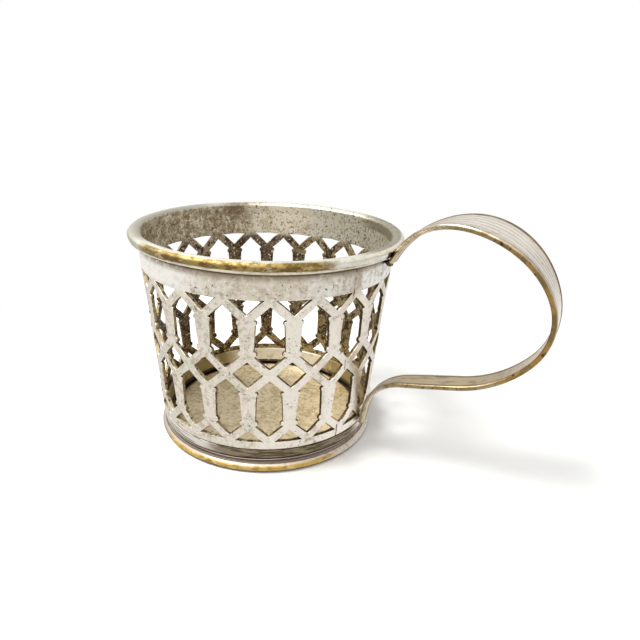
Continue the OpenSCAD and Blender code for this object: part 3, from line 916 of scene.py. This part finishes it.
def pale_board():
    """Matt white board: it takes the shadow near the cup. Further off, and in the metal, it is plain white."""
    material = bpy.data.materials.new("pale_board")
    material.use_nodes = True
    tree = material.node_tree
    shader = tree.nodes["Principled BSDF"]
    shader.inputs["Base Color"].default_value = linear("#F7F7F5")
    shader.inputs["Roughness"].default_value = 0.9
    shader.inputs["Specular IOR Level"].default_value = 0.0
    place = add(tree, "ShaderNodeTexCoord").outputs["Object"]
    path = add(tree, "ShaderNodeLightPath").outputs
    far = where_all(tree, path["Is Camera Ray"], zone(tree, place, "out", BOARD_NEAR, BOARD_FAR))
    far = add(tree, "ShaderNodeMath", {0: far, 1: path["Is Glossy Ray"]}, operation="MAXIMUM").outputs[0]
    plain = add(tree, "ShaderNodeEmission", {"Color": linear("#FFFFFF"), "Strength": 1.0})
    both = add(tree, "ShaderNodeMixShader", {0: far, 1: shader.outputs["BSDF"], 2: plain.outputs["Emission"]})
    tree.links.new(both.outputs["Shader"], tree.nodes["Material Output"].inputs["Surface"])
    return material


# Stage

def stage():
    """White board, a white room that the metal sees brighten upwards, and the lamps."""
    bpy.ops.mesh.primitive_plane_add(size=4)
    board = bpy.context.object
    board.name = "stage_board"
    board.data.materials.append(pale_board())
    world = bpy.data.worlds.new("studio")
    bpy.context.scene.world = world
    world.use_nodes = True
    tree = world.node_tree
    path = add(tree, "ShaderNodeLightPath").outputs
    seen = add(tree, "ShaderNodeMath", {
        0: path["Is Camera Ray"], 1: path["Is Transmission Ray"]}, operation="MAXIMUM")
    direction = add(tree, "ShaderNodeTexCoord").outputs["Generated"]
    height = add(tree, "ShaderNodeSeparateXYZ", {0: direction}).outputs["Z"]
    # The metal mirrors a white that climbs from 0.6 at the horizon to 1, and matt things get ROOM_LIGHT
    ceiling = add(tree, "ShaderNodeMapRange", {
        "Value": height, "From Min": -0.05, "From Max": 0.55, "To Min": 0.6, "To Max": 1.0}).outputs["Result"]
    lit = add(tree, "ShaderNodeMix", {0: path["Is Glossy Ray"], 2: ROOM_LIGHT, 3: ceiling}).outputs[0]
    strength = add(tree, "ShaderNodeMix", {0: seen.outputs[0], 2: lit, 3: 1.0}).outputs[0]
    background = tree.nodes["Background"]
    background.inputs["Color"].default_value = linear("#FFFFFF")
    tree.links.new(strength, background.inputs["Strength"])
    for name, azimuth, rise, distance, size, power in LAMPS:
        lamp = bpy.data.lights.new(name, "AREA")
        lamp.shape = "DISK"
        lamp.size = size
        lamp.energy = power
        holder = bpy.data.objects.new(name, lamp)
        bpy.context.scene.collection.objects.link(holder)
        a, e = math.radians(azimuth), math.radians(rise)
        away = Vector((math.cos(a) * math.cos(e), math.sin(a) * math.cos(e), math.sin(e)))
        holder.location = distance * away
        holder.rotation_euler = away.to_track_quat("Z", "Y").to_euler()


def camera():
    """The photograph's pinhole camera, fitted to the object's own outlines."""
    distance, height, focal_px, frame_px, sensor = 160.938, 96.666, 570.534, 640, 36
    pan, tilt, roll, seat = 0.098, 0.380, 0.046, math.radians(-57.8)
    turn = math.radians(90) + seat
    look = turn - pan
    right = Vector((math.cos(look), math.sin(look), 0))
    ahead = Vector((-math.sin(look) * math.cos(tilt), math.cos(look) * math.cos(tilt), -math.sin(tilt)))
    up = right.cross(ahead)
    tilted_right = math.cos(roll) * right + math.sin(roll) * up
    tilted_up = math.cos(roll) * up - math.sin(roll) * right
    eye = Vector((distance * math.cos(seat), distance * math.sin(seat), height)) * MM
    lens = bpy.data.cameras.new("photo_camera")
    lens.sensor_width = sensor
    lens.lens = focal_px / frame_px * sensor
    lens.clip_start = 1 * MM
    lens.clip_end = 20
    holder = bpy.data.objects.new("photo_camera", lens)
    bpy.context.scene.collection.objects.link(holder)
    axes = Matrix((tilted_right, tilted_up, -ahead)).transposed().to_4x4()
    holder.matrix_world = Matrix.Translation(eye) @ axes
    bpy.context.scene.camera = holder


camera()
stage()
solder = lead_solder("dull_solder", "#C9C4B8", "#948C7D")
# Dark burnt solder at the strap's upper end, darkened also as painted shade under the bead
burnt_solder_in_shade = lead_solder("flux_burnt_solder_in_shade", "#6B5C4B", "#3A2D22")
openwork_wall([outside_plate(), inside_plate(), cut_edge(), rubbed_highlit_edge()])
rim_roll(rim_plate())
base_collar(collar_plate())
foot_ring(foot_plate())
bottom_plate(floor_plate_finish())
handle_strap(strap_plate())
wall_seam(lead_solder("seam_solder", "#C3B8A8", "#A09480"))
solder_blob("upper_solder", (37.0, 0, 56.2), (1.1, 1.0, 0.9), 20, "handle_solder_upper", burnt_solder_in_shade, 2)
solder_blob("lower_solder", (32.5, 0, 8.6), (0.5, 0.9, 2.0), -4, "handle_solder_lower", solder, 7)
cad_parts["rim_wire"].data.materials.clear()
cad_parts["rim_wire"].data.materials.append(solder)

bpy.context.scene.view_settings.view_transform = "Standard"
